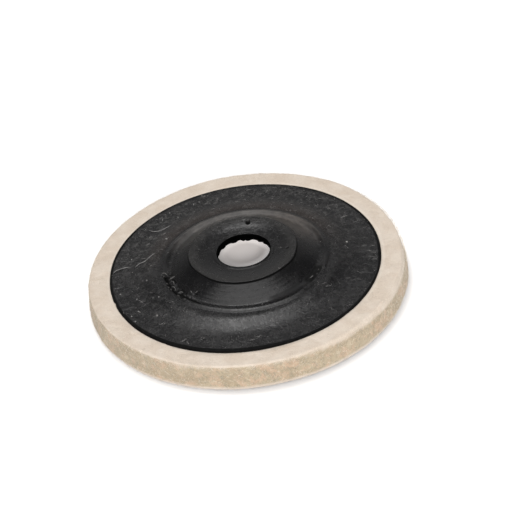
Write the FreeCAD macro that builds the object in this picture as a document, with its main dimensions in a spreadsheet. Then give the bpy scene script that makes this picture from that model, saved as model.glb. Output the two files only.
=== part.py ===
# Felt polishing wheel for a small angle grinder: a pressed wool felt ring bonded to a
# moulded black nylon backing plate with a raised, dished hub and a plain spindle bore.
# Millimetres, +Z towards the machine. The origin is on the bore axis, level with the
# bore's rear rim, so the felt's working face looks along -Z.
import FreeCAD, Part
import Sketcher
import math
import os

V = FreeCAD.Vector
Z_AXIS = V(0, 0, 1)
doc = FreeCAD.newDocument("felt_polishing_wheel")

# ---------------------------------------------------------------- driving dimensions
# Each "drop" is a distance below the origin plane, each "height" a distance above it.
DIMS = [
    # bore and the small lip round it
    ("bore_radius", 8.0),
    ("bore_chamfer", 0.25),
    ("lip_radius", 9.5),
    ("lip_groove_run", 0.16),  # radial run of the lip's sloping side
    ("lip_groove_outer", 10.2),
    ("lip_groove_depth", 0.14),
    # dished hub top, standing on the cone as a small step
    ("dish_mid_radius", 13.4),
    ("dish_mid_height", 0.31),
    ("dish_outer_radius", 16.3),
    ("hub_radius", 17.0),
    ("hub_height", 0.6),
    ("hub_step", 0.48),
    ("hub_edge_round", 0.1),
    # slightly concave cone, then a tight sweep into the groove at its foot
    ("cone_low_radius", 21.9),
    ("cone_low_drop", 2.99),
    ("cone_arc_radius", 64.0),
    ("cone_foot_radius", 23.4),
    ("cone_foot_drop", 3.48),
    ("foot_arc_radius", 3.7),
    ("groove_outer_radius", 23.8),
    # low bead round the groove, then a flat land, the shoulder and the taper to the rim
    ("bead_inner_radius", 25.0),
    ("bead_inner_drop", 3.02),
    ("bead_outer_radius", 25.9),
    ("bead_outer_drop", 3.13),
    ("bead_edge_round", 0.12),
    ("land_inner_radius", 26.4),
    ("land_outer_radius", 28.0),
    ("land_drop", 3.4),
    ("shoulder_radius", 30.4),
    ("shoulder_drop", 3.76),
    ("shoulder_arc_radius", 9.9),
    ("taper_end_radius", 37.2),
    ("taper_end_drop", 4.51),
    ("taper_arc_radius", 32.5),
    ("rim_drop", 4.62),
    ("plate_radius", 42.4),
    ("rim_edge_round", 0.35),
    # underside of the plate
    ("plate_base_drop", 5.35),
    ("nut_seat_drop", 2.05),
    ("nut_seat_radius", 16.0),
    ("under_foot_radius", 24.4),
    # four pin-gate pits on the hub's dish
    ("gate_radius", 0.45),
    ("gate_pitch_radius", 14.0),
    ("gate_floor_drop", 0.35),
    ("gate_cut_margin", 1.0),  # how far the cut runs on above the hub
    ("gate_angle", 78.2),      # degrees from +X; the only value not bound by an expression
    # adhesive film
    ("glue_thickness", 0.15),
    ("glue_inner_radius", 25.9),
    ("glue_outer_radius", 42.1),
    # felt ring, its side leaning in a little towards the plate
    ("felt_top_radius", 49.35),
    ("felt_low_radius", 50.4),
    ("felt_inner_radius", 25.5),
    ("felt_thickness", 9.1),
    ("felt_top_round", 0.75),
    ("felt_low_round", 2.0),
    ("felt_inner_round", 0.8),
]
GATE_COUNT = 4
LEAST_PIT_VOLUME = 0.05  # mm3, less than this means that the cut missed the dish
EDGE_TOLERANCE = 1e-3

sheet = doc.addObject("Spreadsheet::Sheet", "dims")
for row, (alias, size) in enumerate(DIMS, start=1):
    sheet.set(f"A{row}", alias)
    sheet.set(f"B{row}", str(size))
    sheet.setAlias(f"B{row}", alias)
doc.recompute()


class Term:
    """A number together with the sheet expression that gives it. Angles are in radians."""

    def __init__(self, value, text):
        self.value = value
        self.text = text

    def __neg__(self):
        return Term(-self.value, f"-{self.text}")

    def __add__(self, other):
        other = as_term(other)
        return Term(self.value + other.value, f"({self.text} + {other.text})")

    def __sub__(self, other):
        other = as_term(other)
        return Term(self.value - other.value, f"({self.text} - {other.text})")

    def __mul__(self, other):
        other = as_term(other)
        return Term(self.value * other.value, f"({self.text} * {other.text})")

    def __truediv__(self, other):
        other = as_term(other)
        return Term(self.value / other.value, f"({self.text} / {other.text})")


def as_term(number):
    return number if isinstance(number, Term) else Term(number, str(number))


def trig(name, term):
    """sin, cos, tan or atan of a term. The sheet's functions have the same names."""
    return Term(getattr(math, name)(term.value), f"{name}({term.text})")


dim = {alias: Term(size, f"dims.{alias}") for alias, size in DIMS}
RIGHT_ANGLE = Term(math.pi / 2, "90 deg")


# ---------------------------------------------------------------- helpers
def new_body(label):
    body = doc.addObject("PartDesign::Body", label)
    body.Label = label
    return body


def new_sketch(body, name, role):
    sketch = body.newObject("Sketcher::SketchObject", name)
    plane = next(f for f in body.Origin.OriginFeatures if f.Role == role)
    sketch.AttachmentSupport = (plane, "")
    sketch.MapMode = "FlatFace"
    return sketch


def offset_sketch(sketch, height, angle=0.0):
    """Lifts a sketch to a height along Z and turns it by an angle in degrees."""
    turn = FreeCAD.Rotation(Z_AXIS, angle)
    sketch.AttachmentOffset = FreeCAD.Placement(V(0, 0, height.value), turn)
    sketch.setExpression("AttachmentOffset.Base.z", height.text)


def bind(sketch, name, term, kind, *geometry):
    """Adds a named dimensional constraint and drives it from the sheet."""
    index = sketch.addConstraint(Sketcher.Constraint(kind, *geometry, term.value))
    sketch.renameConstraint(index, name)
    sketch.setExpression(f"Constraints.{name}", term.text)


def add_circle(sketch, x, radius):
    circle = Part.Circle(V(x, 0, 0), Z_AXIS, radius.value)
    return sketch.addGeometry(circle, False)


def minor_arc(start, end, radius, side):
    """The short arc between two points. side is +1 when its centre lies left of start to end."""
    half = (end - start).Length / 2
    along = (end - start).normalize()
    left = V(-along.y, along.x, 0)
    centre = (start + end) * 0.5 + left * side * math.sqrt(radius * radius - half * half)
    first, last = (
        math.atan2(point.y - centre.y, point.x - centre.x)
        for point in ((start, end) if side > 0 else (end, start))
    )
    circle = Part.Circle(centre, Z_AXIS, radius)
    return Part.ArcOfCircle(circle, first, first + (last - first) % (2 * math.pi))


def draw_profile(sketch, points, arcs):
    """Draws a closed half profile.

    points: (name, radius, height), where height None is a point on the origin plane.
    arcs: {name of the segment's first point: (radius alias, side)}; other segments are lines.
    """
    corners = [V(radius.value, height.value if height else 0.0, 0) for _, radius, height in points]
    segments = []  # (geometry, vertex at the segment's start, vertex at its end)
    for i, (name, _, _) in enumerate(points):
        start, end = corners[i], corners[(i + 1) % len(points)]
        start_vertex, end_vertex = 1, 2
        if name in arcs:
            alias, side = arcs[name]
            curve = minor_arc(start, end, dim[alias].value, side)
            if side < 0:
                start_vertex, end_vertex = 2, 1
        else:
            curve = Part.LineSegment(start, end)
        segments.append((sketch.addGeometry(curve, False), start_vertex, end_vertex))

    for i, (geometry, _, end_vertex) in enumerate(segments):
        following, next_vertex, _ = segments[(i + 1) % len(segments)]
        sketch.addConstraint(
            Sketcher.Constraint("Coincident", geometry, end_vertex, following, next_vertex)
        )
    for (name, radius, height), (geometry, vertex, _) in zip(points, segments):
        bind(sketch, name + "_x", radius, "DistanceX", -1, 1, geometry, vertex)
        if height is None:
            sketch.addConstraint(Sketcher.Constraint("PointOnObject", geometry, vertex, -1))
        else:
            bind(sketch, name + "_y", height, "DistanceY", -1, 1, geometry, vertex)
    for (name, _, _), (geometry, _, _) in zip(points, segments):
        if name in arcs:
            bind(sketch, f"arc_{name}", dim[arcs[name][0]], "Radius", geometry)


def turned_body(label, stem, points, arcs):
    """A body made by turning a half profile round the Z axis."""
    body = new_body(label)
    sketch = new_sketch(body, stem + "_profile", "XZ_Plane")
    draw_profile(sketch, points, arcs)
    doc.recompute()
    turned = body.newObject("PartDesign::Revolution", stem + "_turned")
    turned.Profile = sketch
    turned.ReferenceAxis = (sketch, ["V_Axis"])
    turned.Angle = 360.0
    doc.recompute()
    return body


def round_edges(body, alias, places):
    """Fillets the circular edges at the (radius, height) places by the named dimension."""
    doc.recompute()
    base = body.Tip
    names = []
    for number, edge in enumerate(base.Shape.Edges, start=1):
        if not isinstance(edge.Curve, Part.Circle):
            continue
        for radius, height in places:
            if (abs(edge.Curve.Radius - radius.value) < EDGE_TOLERANCE
                    and abs(edge.Curve.Center.z - height.value) < EDGE_TOLERANCE):
                names.append(f"Edge{number}")
    if not names:
        raise RuntimeError(f"{alias}: no edge found")
    fillet = body.newObject("PartDesign::Fillet", alias)
    fillet.Base = (base, names)
    fillet.setExpression("Radius", dim[alias].text)


# ---------------------------------------------------------------- backing plate
def cut_gate_pits(plate):
    """Four round pits, cut from their floor up through the dish."""
    volume_before = plate.Tip.Shape.Volume
    sketch = new_sketch(plate, "gate_pit", "XY_Plane")
    circle = add_circle(sketch, dim["gate_pitch_radius"].value, dim["gate_radius"])
    sketch.addConstraint(Sketcher.Constraint("PointOnObject", circle, 3, -1))
    bind(sketch, "gate_pitch", dim["gate_pitch_radius"], "DistanceX", -1, 1, circle, 3)
    bind(sketch, "gate_r", dim["gate_radius"], "Radius", circle)
    offset_sketch(sketch, -dim["gate_floor_drop"], dim["gate_angle"].value)
    doc.recompute()

    pit = plate.newObject("PartDesign::Pocket", "gate_pit_cut")
    pit.Profile = sketch
    depth = dim["gate_floor_drop"] + dim["hub_height"] + dim["gate_cut_margin"]
    pit.setExpression("Length", depth.text)
    pit.Reversed = True
    doc.recompute()
    pit_volume = volume_before - plate.Tip.Shape.Volume
    if not pit_volume > LEAST_PIT_VOLUME:
        raise RuntimeError("the gate pit cut nothing")

    pattern = plate.newObject("PartDesign::PolarPattern", "gate_pits")
    pattern.Originals = [pit]
    pattern.Axis = (sketch, ["N_Axis"])
    pattern.Angle = 360.0
    pattern.Occurrences = GATE_COUNT
    plate.Tip = pattern
    doc.recompute()
    if not volume_before - plate.Tip.Shape.Volume > 0.95 * GATE_COUNT * pit_volume:
        raise RuntimeError("the gate pits weren't patterned")


def make_plate():
    """One moulding, outlined from the bore over the top to the rim and back underneath."""
    bore = dim["bore_radius"]
    lip = dim["lip_radius"]
    lip_floor = -dim["lip_groove_depth"]
    hub, hub_top = dim["hub_radius"], dim["hub_height"]
    groove_floor = -dim["cone_foot_drop"]
    bead_in = (dim["bead_inner_radius"], -dim["bead_inner_drop"])
    bead_out = (dim["bead_outer_radius"], -dim["bead_outer_drop"])
    rim_top = (dim["plate_radius"], -dim["rim_drop"])
    base = -dim["plate_base_drop"]
    seat = -dim["nut_seat_drop"]
    points = [
        ("bore_low", bore, seat),
        ("bore_high", bore, -dim["bore_chamfer"]),
        ("bore_rim", bore + dim["bore_chamfer"], None),
        ("lip_edge", lip, None),
        ("lip_floor", lip + dim["lip_groove_run"], lip_floor),
        ("dish_start", dim["lip_groove_outer"], lip_floor * 0.5),
        ("dish_mid", dim["dish_mid_radius"], dim["dish_mid_height"]),
        ("dish_end", dim["dish_outer_radius"], hub_top),
        ("hub_edge", hub, hub_top),
        ("hub_foot", hub, hub_top - dim["hub_step"]),
        ("cone_low", dim["cone_low_radius"], -dim["cone_low_drop"]),
        ("cone_foot", dim["cone_foot_radius"], groove_floor),
        ("groove_out", dim["groove_outer_radius"], groove_floor),
        ("bead_in", *bead_in),
        ("bead_out", *bead_out),
        ("land_in", dim["land_inner_radius"], -dim["land_drop"]),
        ("land_out", dim["land_outer_radius"], -dim["land_drop"]),
        ("shoulder", dim["shoulder_radius"], -dim["shoulder_drop"]),
        ("taper_end", dim["taper_end_radius"], -dim["taper_end_drop"]),
        ("rim_top", *rim_top),
        ("rim_base", dim["plate_radius"], base),
        ("under_foot", dim["under_foot_radius"], base),
        ("nut_seat", dim["nut_seat_radius"], seat),
    ]
    arcs = {
        "hub_foot": ("cone_arc_radius", 1),
        "cone_low": ("foot_arc_radius", 1),
        "land_out": ("shoulder_arc_radius", -1),
        "shoulder": ("taper_arc_radius", 1),
    }
    plate = turned_body("backing_plate", "plate", points, arcs)
    cut_gate_pits(plate)
    round_edges(plate, "hub_edge_round", [(hub, hub_top)])
    round_edges(plate, "bead_edge_round", [bead_in, bead_out])
    round_edges(plate, "rim_edge_round", [rim_top])
    doc.recompute()
    return plate


# ---------------------------------------------------------------- adhesive film
def make_glue():
    """A flat ring hanging from the plate's base."""
    body = new_body("adhesive_layer")
    sketch = new_sketch(body, "adhesive_layer_outline", "XY_Plane")
    for side in ("outer", "inner"):
        radius = dim[f"glue_{side}_radius"]
        circle = add_circle(sketch, 0, radius)
        sketch.addConstraint(Sketcher.Constraint("Coincident", circle, 3, -1, 1))
        bind(sketch, f"{side}_r", radius, "Radius", circle)
    offset_sketch(sketch, -dim["plate_base_drop"])
    doc.recompute()
    pad = body.newObject("PartDesign::Pad", "adhesive_layer_pad")
    pad.Profile = sketch
    pad.setExpression("Length", dim["glue_thickness"].text)
    pad.Reversed = True
    doc.recompute()
    return body


# ---------------------------------------------------------------- felt ring
def make_felt():
    """The felt, with its two outer rounds drawn tangent to the leaning side."""
    top = -(dim["plate_base_drop"] + dim["glue_thickness"])
    low = top - dim["felt_thickness"]
    inner = dim["felt_inner_radius"]
    top_radius, low_radius = dim["felt_top_radius"], dim["felt_low_radius"]
    low_round = dim["felt_low_round"]

    # the side's lean from upright, and how far each round reaches along the faces it joins
    lean = trig("atan", (low_radius - top_radius) / dim["felt_thickness"])
    low_cut = low_round / trig("tan", (RIGHT_ANGLE - lean) / 2)
    top_cut = dim["felt_top_round"] / trig("tan", (RIGHT_ANGLE + lean) / 2)
    lean_sin, lean_cos = trig("sin", lean), trig("cos", lean)

    # the lower round turns through nearly a right angle, so it is drawn as two arcs
    # that meet at the middle of the turn
    low_flat = low_radius - low_cut
    middle = (lean - RIGHT_ANGLE) / 2
    points = [
        ("low_in", inner, low),
        ("low_flat", low_flat, low),
        ("low_turn", low_flat + low_round * trig("cos", middle),
         low + low_round * (trig("sin", middle) + 1)),
        ("side_low", low_radius - low_cut * lean_sin, low + low_cut * lean_cos),
        ("side_top", top_radius + top_cut * lean_sin, top - top_cut * lean_cos),
        ("top_flat", top_radius - top_cut, top),
        ("top_in", inner, top),
    ]
    arcs = {
        "low_flat": ("felt_low_round", 1),
        "low_turn": ("felt_low_round", 1),
        "side_top": ("felt_top_round", 1),
    }
    felt = turned_body("felt_ring", "felt", points, arcs)
    round_edges(felt, "felt_inner_round", [(inner, top), (inner, low)])
    doc.recompute()
    return felt


# ---------------------------------------------------------------- build and write
bodies = [make_plate(), make_glue(), make_felt()]

bad = [o.Name for o in doc.Objects if any(s in ("Invalid", "Error") for s in o.State)]
if bad:
    raise RuntimeError(f"failed objects: {bad}")
os.makedirs("parts", exist_ok=True)
for body in bodies:
    shape = body.Shape
    if shape.isNull() or not shape.isValid() or len(shape.Solids) != 1:
        raise RuntimeError(f"{body.Label}: the shape is not one valid solid")
    shape.exportStep(f"parts/{body.Label}.step")
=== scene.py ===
import math
from functools import reduce

import bpy
import numpy as np
from mathutils import Matrix, Vector


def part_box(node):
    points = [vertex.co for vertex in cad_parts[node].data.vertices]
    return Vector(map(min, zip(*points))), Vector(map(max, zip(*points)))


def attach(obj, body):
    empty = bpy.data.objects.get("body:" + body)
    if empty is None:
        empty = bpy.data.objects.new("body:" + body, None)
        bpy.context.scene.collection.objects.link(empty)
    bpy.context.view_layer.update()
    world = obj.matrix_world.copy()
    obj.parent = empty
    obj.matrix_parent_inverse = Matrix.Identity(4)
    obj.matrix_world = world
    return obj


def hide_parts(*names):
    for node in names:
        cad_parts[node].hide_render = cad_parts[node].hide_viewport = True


MM = 0.001
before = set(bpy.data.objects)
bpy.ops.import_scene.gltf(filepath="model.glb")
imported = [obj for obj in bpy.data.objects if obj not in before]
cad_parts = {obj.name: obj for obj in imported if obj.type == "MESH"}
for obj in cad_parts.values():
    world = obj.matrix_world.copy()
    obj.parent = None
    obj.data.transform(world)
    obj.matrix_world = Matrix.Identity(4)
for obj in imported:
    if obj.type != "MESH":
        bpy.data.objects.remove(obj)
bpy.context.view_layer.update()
plate_lo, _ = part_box("backing_plate")
felt_lo, felt_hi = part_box("felt_ring")
glue_lo, glue_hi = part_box("adhesive_layer")

FELT_R = felt_hi.x / MM - 0.15  # at the middle of the side, which leans in
FELT_TOP = felt_hi.z / MM
FELT_LOW = felt_lo.z / MM
FELT_LOW_R, FELT_LOW_ROUND = FELT_R + 0.4, 2.0
FELT_TOP_R, FELT_TOP_ROUND = FELT_R - 0.65, 0.75
FELT_IN = 25.5
FELT_SHIFT = (0.25, 0.6)  # the ring is glued on a little off centre
PLATE_BASE = plate_lo.z / MM
PLATE_R = 42.4
BORE_SHIFT = 0.3  # the bore and the cone's foot sit this far to the right
GLUE_LOW, GLUE_TOP = glue_lo.z / MM, glue_hi.z / MM
FLOOR_Z = FELT_LOW - 0.02

# four pin-gate pits on the dish, a quarter turn apart from the back one
PIT_ANGLE, PIT_RADIUS = 78.2, 14.0
# where the hub's edge runs in and out: rise and fall in turns, then how far
HUB_IN, HUB_IN_BY = ((-0.47, -0.40), (-0.32, -0.40)), 0.38
HUB_OUT, HUB_OUT_BY = ((-0.15, -0.09), (-0.03, -0.09)), 0.3


# ------------------------------------------------------------------ shaping tools
class Noise:
    """Seeded gradient noise over millimetre coordinates, about -1 to 1."""

    def __init__(self, seed):
        rng = np.random.RandomState(seed)
        self.order = np.tile(rng.permutation(256), 3)
        slopes = rng.normal(size=(256, 3))
        self.slopes = slopes / np.linalg.norm(slopes, axis=1)[:, None]

    def __call__(self, points):
        shape = points.shape[:-1]
        points = points.reshape(-1, 3)
        cell = np.floor(points).astype(int)
        part = points - cell
        cell &= 255
        fade = part * part * part * (part * (part * 6 - 15) + 10)
        order = self.order
        total = np.zeros(len(points))
        for corner in np.ndindex(2, 2, 2):
            weight = np.where(corner, fade, 1 - fade).prod(axis=1)
            near = cell + corner
            key = order[order[order[near[:, 0]] + near[:, 1]] + near[:, 2]]
            total += weight * np.einsum("ij,ij->i", self.slopes[key], part - corner)
        return total.reshape(shape) * 1.6

    def layered(self, points, size):
        """Two octaves, the coarser one of the given size."""
        return self(points / size) + 0.5 * self(points * (2.03 / size) + 17.3)

    def around(self, angles, size, shift=0.0):
        """The noise along a circle of radius size."""
        circle = [np.cos(angles) * size, np.sin(angles) * size, angles * 0]
        return self(np.stack(circle, 1) + shift)


def step(value, start, end):
    """A smooth step from 0 at start to 1 at end. End may be the smaller."""
    part = np.clip((np.asarray(value, float) - start) / (end - start), 0, 1)
    return part * part * (3 - 2 * part)


def band(value, rise, fall):
    """A step up over the pair rise times a step down over the pair fall."""
    return step(value, *rise) * step(value, *fall)


def turn_gap(angle, centre):
    """Signed difference of two angles in degrees."""
    return (angle - centre + 180) % 360 - 180


def bumps(angle, *humps):
    """Sum of humps (centre, width, height) round the turn, in degrees."""
    return sum(high * np.exp(-((turn_gap(angle, mid) / wide) ** 2)) for mid, wide, high in humps)


def mesh_object(name, points, quads=(), tris=()):
    """A smooth mesh object from vertices in millimetres and face index arrays."""
    mesh = bpy.data.meshes.new(name)
    quads = np.asarray(quads, np.int32).reshape(-1, 4)
    tris = np.asarray(tris, np.int32).reshape(-1, 3)
    points = np.asarray(points, np.float64).reshape(-1, 3) * MM
    mesh.vertices.add(len(points))
    mesh.vertices.foreach_set("co", points.astype(np.float32).ravel())
    corners = np.concatenate([quads.ravel(), tris.ravel()])
    mesh.loops.add(len(corners))
    mesh.loops.foreach_set("vertex_index", corners)
    totals = np.repeat([4, 3], [len(quads), len(tris)]).astype(np.int32)
    starts = (np.cumsum(totals) - totals).astype(np.int32)
    mesh.polygons.add(len(totals))
    mesh.polygons.foreach_set("loop_start", starts)
    mesh.polygons.foreach_set("loop_total", totals)
    mesh.polygons.foreach_set("use_smooth", np.ones(len(totals), bool))
    mesh.update(calc_edges=True)
    mesh.validate(verbose=False)
    obj = bpy.data.objects.new(name, mesh)
    bpy.context.scene.collection.objects.link(obj)
    return obj


def face_outward(mesh):
    """Turns a closed mesh's faces outwards if its signed volume is negative."""
    mesh.calc_loop_triangles()
    points = np.zeros(len(mesh.vertices) * 3, np.float32)
    mesh.vertices.foreach_get("co", points)
    points = points.reshape(-1, 3).astype(float)
    tris = np.zeros(len(mesh.loop_triangles) * 3, np.int32)
    mesh.loop_triangles.foreach_get("vertices", tris)
    one, two, three = points[tris.reshape(-1, 3).T]
    if np.einsum("ij,ij->i", one, np.cross(two, three)).sum() < 0:
        mesh.flip_normals()


def place(obj, material, replaces=None):
    """Gives a closed piece its material and its part in the frame."""
    face_outward(obj.data)
    obj.data.materials.append(material)
    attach(obj, "root")
    if replaces:
        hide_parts(replaces)


def turned(loop, segments):
    """A closed (r, z) loop turned about Z.

    Returns the grid (rings, segments, 3), the loop's normals, the segments' angles
    and the loop's radii and heights as columns.
    """
    angles = np.arange(segments) * 2 * math.pi / segments
    radius, z = loop[:, 0:1], loop[:, 1:2]
    grid = np.stack([radius * np.cos(angles), radius * np.sin(angles), z + 0 * angles], axis=2)
    along = np.roll(loop, -1, 0) - np.roll(loop, 1, 0)
    normals = np.stack([along[:, 1], -along[:, 0]], 1)
    normals /= np.maximum(np.linalg.norm(normals, axis=1), 1e-9)[:, None]
    return grid, normals, angles, radius, z


def ring_object(name, grid):
    rings, segments = grid.shape[:2]
    j = np.arange(rings)[:, None]
    i = np.arange(segments)[None, :]
    above, beside = (j + 1) % rings * segments, (i + 1) % segments
    j = j * segments
    return mesh_object(name, grid, np.stack([j + i, j + beside, above + beside, above + i], 2))


def push(grid, angles, amount):
    """Moves a turned grid's vertices away from the axis."""
    grid[..., 0] += amount * np.cos(angles)
    grid[..., 1] += amount * np.sin(angles)


def sloped(start, table, spacing):
    """Corners (r, z, 0) following a table of (radius, slope) from height start, spaced apart."""
    fine = 0.02
    radii, slopes = zip(*table)
    radius = np.arange(radii[0], radii[-1] + fine / 2, fine)
    slope = np.interp(radius, radii, slopes)
    z = start + np.concatenate([[0], np.cumsum((slope[1:] + slope[:-1]) / 2 * fine)])
    out, last = [], -math.inf
    for here, height in zip(radius, z):
        if here - last >= spacing(here) - 1e-6:
            out.append((here, height, 0.0))
            last = here
    out.append((radius[-1], z[-1], 0.0))
    return out


def rounded_corner(corner, before, after, rounding):
    """The start and end of a corner's arc, and the points between them."""
    to_before, to_after = before - corner, after - corner
    len_before, len_after = np.linalg.norm(to_before), np.linalg.norm(to_after)
    to_before = to_before / max(len_before, 1e-12)
    to_after = to_after / max(len_after, 1e-12)
    cosine = float(np.clip(to_before @ to_after, -1, 1))
    if rounding <= 0 or cosine < -0.9995:
        return corner, corner, []
    half = math.acos(cosine) / 2
    cut = min(rounding / math.tan(half), 0.45 * len_before, 0.45 * len_after)
    radius = cut * math.tan(half)
    middle = to_before + to_after
    centre = corner + middle / np.linalg.norm(middle) * (radius / math.sin(half))
    start, end = corner + to_before * cut, corner + to_after * cut
    first = math.atan2(*(start - centre)[::-1])
    last = math.atan2(*(end - centre)[::-1])
    sweep = (last - first + math.pi) % (2 * math.pi) - math.pi
    count = 3 if radius < 0.4 else 8
    turns = [first + sweep * i / count for i in range(1, count)]
    arc = [centre + radius * np.array([math.cos(turn), math.sin(turn)]) for turn in turns]
    return start, end, arc


def rounded_loop(corners, spacing):
    """A closed (r, z) loop through corners (r, z, rounding), split by spacing(r, z)."""
    points = np.array([corner[:2] for corner in corners], float)
    count = len(points)
    bends = [
        rounded_corner(points[k], points[k - 1], points[(k + 1) % count], corners[k][2])
        for k in range(count)
    ]
    out = []
    for k, (start, end, arc) in enumerate(bends):
        out.append(start)
        if arc:
            out += arc + [end]
        goal, _, goal_arc = bends[(k + 1) % count]
        length = np.linalg.norm(goal - end)
        if length < 1e-9:
            continue
        along = (goal - end) / length
        # a close ring beside each arc keeps the shading crisp
        guard = 0.06 if arc and length > 0.35 else 0.0
        goal_guard = 0.06 if goal_arc and length > 0.35 else 0.0
        if guard:
            out.append(end + along * guard)
        x = guard
        while True:
            gap = spacing(*(end + along * x))
            if x + gap * 1.4 >= length - goal_guard:
                break
            x += gap
            out.append(end + along * x)
        if goal_guard:
            out.append(goal - along * goal_guard)
    kept = [out[0]]
    for point in out[1:]:
        if np.linalg.norm(point - kept[-1]) > 0.012:
            kept.append(point)
    return np.array(kept)


# ------------------------------------------------------------------ node tools
class Nodes:
    """Short hand for a node tree. Numbers, colours and sockets all go straight into inputs."""

    def __init__(self, tree):
        self.tree = tree
        tree.nodes.clear()

    def add(self, kind, **props):
        node = self.tree.nodes.new(kind)
        for name, value in props.items():
            setattr(node, name, value)
        return node

    def put(self, value, socket):
        if isinstance(value, bpy.types.NodeSocket):
            self.tree.links.new(value, socket)
        elif isinstance(value, tuple) and socket.type == "RGBA":
            socket.default_value = (*value, 1.0)
        else:
            socket.default_value = value

    def fill(self, node, inputs):
        for name, value in inputs.items():
            self.put(value, node.inputs[name])

    def math(self, kind, one, two=0.0, clamp=False):
        node = self.add("ShaderNodeMath", operation=kind, use_clamp=clamp)
        for value, socket in zip((one, two, 0.0), node.inputs):
            self.put(value, socket)
        return node.outputs[0]

    def mul(self, *values):
        return reduce(lambda one, two: self.math("MULTIPLY", one, two), values)

    def plus(self, *values):
        return reduce(lambda one, two: self.math("ADD", one, two), values)

    def most(self, *values):
        return reduce(lambda one, two: self.math("MAXIMUM", one, two), values)

    def minus(self, one, two):
        return self.math("SUBTRACT", one, two)

    def length(self, x, y):
        return self.math("SQRT", self.plus(self.mul(x, x), self.mul(y, y)))

    def step(self, value, start, end, low=0.0, high=1.0):
        """A smooth step from low at start to high at end."""
        node = self.add("ShaderNodeMapRange", interpolation_type="SMOOTHSTEP")
        inputs = {"Value": value, "From Min": start, "From Max": end, "To Min": low, "To Max": high}
        self.fill(node, inputs)
        return node.outputs[0]

    def band(self, value, rise, fall):
        """A step up over the pair rise times a step down over the pair fall."""
        return self.mul(self.step(value, *rise), self.step(value, *fall))

    def noise(self, vector, scale, detail=3.0, rough=0.5, warp=0.0):
        node = self.add("ShaderNodeTexNoise", noise_dimensions="3D")
        inputs = {"Vector": vector, "Scale": scale, "Detail": detail}
        self.fill(node, {**inputs, "Roughness": rough, "Distortion": warp})
        return node.outputs["Fac"]

    def voronoi(self, vector, scale, feature="F1"):
        node = self.add("ShaderNodeTexVoronoi", feature=feature)
        self.fill(node, {"Vector": vector, "Scale": scale})
        return node.outputs["Distance"]

    def mix(self, factor, one, two):
        node = self.add("ShaderNodeMix", data_type="RGBA", blend_type="MIX")
        for value, index in ((factor, 0), (one, 6), (two, 7)):
            self.put(value, node.inputs[index])
        return node.outputs[2]

    def tint(self, base, mask, amount, colour):
        """Lays a colour over base where the mask is."""
        return self.mix(self.mul(mask, amount), base, colour)

    def vector(self, x, y, z):
        node = self.add("ShaderNodeCombineXYZ")
        self.fill(node, {"X": x, "Y": y, "Z": z})
        return node.outputs[0]

    def split(self, vector):
        node = self.add("ShaderNodeSeparateXYZ")
        self.put(vector, node.inputs[0])
        return node.outputs

    def scaled(self, vector, scale):
        node = self.add("ShaderNodeVectorMath", operation="SCALE")
        self.put(vector, node.inputs[0])
        self.put(scale, node.inputs["Scale"])
        return node.outputs[0]

    def bump(self, height, strength, depth, normal=None):
        """A bump depth millimetres deep, over an earlier normal if there is one."""
        node = self.add("ShaderNodeBump")
        self.fill(node, {"Strength": strength, "Distance": depth * MM, "Height": height})
        if normal is not None:
            self.put(normal, node.inputs["Normal"])
        return node.outputs["Normal"]

    def point(self):
        """Object coordinates in millimetres."""
        return self.scaled(self.add("ShaderNodeTexCoord").outputs["Object"], 1000.0)


def new_material(name):
    material = bpy.data.materials.new(name)
    material.use_nodes = True
    net = Nodes(material.node_tree)
    out = net.add("ShaderNodeOutputMaterial")
    shader = net.add("ShaderNodeBsdfPrincipled")
    net.put(shader.outputs[0], out.inputs["Surface"])
    return material, net, shader


# ------------------------------------------------------------------ nylon
def painted_foot_sheen(net, point, rings, radius, cos, sin):
    """Mask of the painted sheen on the cone, strongest at the back of its foot."""
    return net.mul(
        net.step(radius, 16.9, 19.5, 0.25, 0.9),
        net.step(radius, 26.4, 25.4),
        net.step(net.plus(sin, net.mul(cos, 0.12)), 0.1, 0.85),
        net.mul(net.step(radius, 16.95, 17.05), net.step(radius, 23.6, 24.4, 1.0, 0.85)),
        net.step(net.noise(point, 0.5, rough=0.6), 0.3, 0.62, 0.5, 1.0),
        net.step(net.noise(rings, 1.5, detail=4.0, rough=0.65), 0.36, 0.62, 0.72, 1.14),
    )


def torn_gap_shade(net, point, radius, turn):
    """Mask of gaps in the torn skin at the cone's foot, painted black as shade: front left and
    front right.
    """
    left = net.mul(
        net.band(turn, (-0.495, -0.482), (-0.376, -0.398)),
        net.band(radius, (22.0, 22.9), (25.9, 25.5)),
        net.step(net.noise(point, 0.85, detail=2.0), 0.46, 0.52),
    )
    right = net.mul(
        net.band(turn, (-0.128, -0.113), (-0.052, -0.068)),
        net.band(radius, (22.4, 23.2), (25.95, 25.5)),
        net.step(net.noise(point, 0.85, detail=2.0), 0.34, 0.46, 0.85, 1.0),
    )
    return net.most(left, right)


def rub_marks(net, point, rays, radius, outer, back):
    """Masks of the fine marks on the flat: worm-like rubs, felt dust and scratches."""
    # the worms are thin isolines of a noise, kept only in patches
    warp = net.noise(point, 0.62, detail=2.0, warp=0.9)
    off_line = net.mul(net.math("ABSOLUTE", net.minus(warp, 0.5)), 11.0)
    line = net.math("SUBTRACT", 1.0, off_line, clamp=True)
    patch = net.step(net.noise(point, 0.42, detail=2.0, rough=0.6), 0.46, 0.62)
    worm = net.mul(line, patch, outer, net.plus(0.3, net.mul(back, 0.7)))
    dust = net.mul(
        net.step(net.voronoi(point, 0.95), 0.24, 0.06),
        net.step(net.noise(point, 0.33, detail=2.0), 0.46, 0.62),
        net.plus(0.25, net.mul(back, outer, 0.75)),
    )
    near_rim = net.mul(
        net.step(radius, 34.0, 38.5), net.step(net.noise(point, 0.12, detail=1.0), 0.45, 0.62)
    )
    ray = net.noise(rays, 1.0, detail=2.0, rough=0.6)
    scratch = net.mul(net.step(ray, 0.62, 0.72), near_rim)
    return worm, dust, scratch


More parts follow.
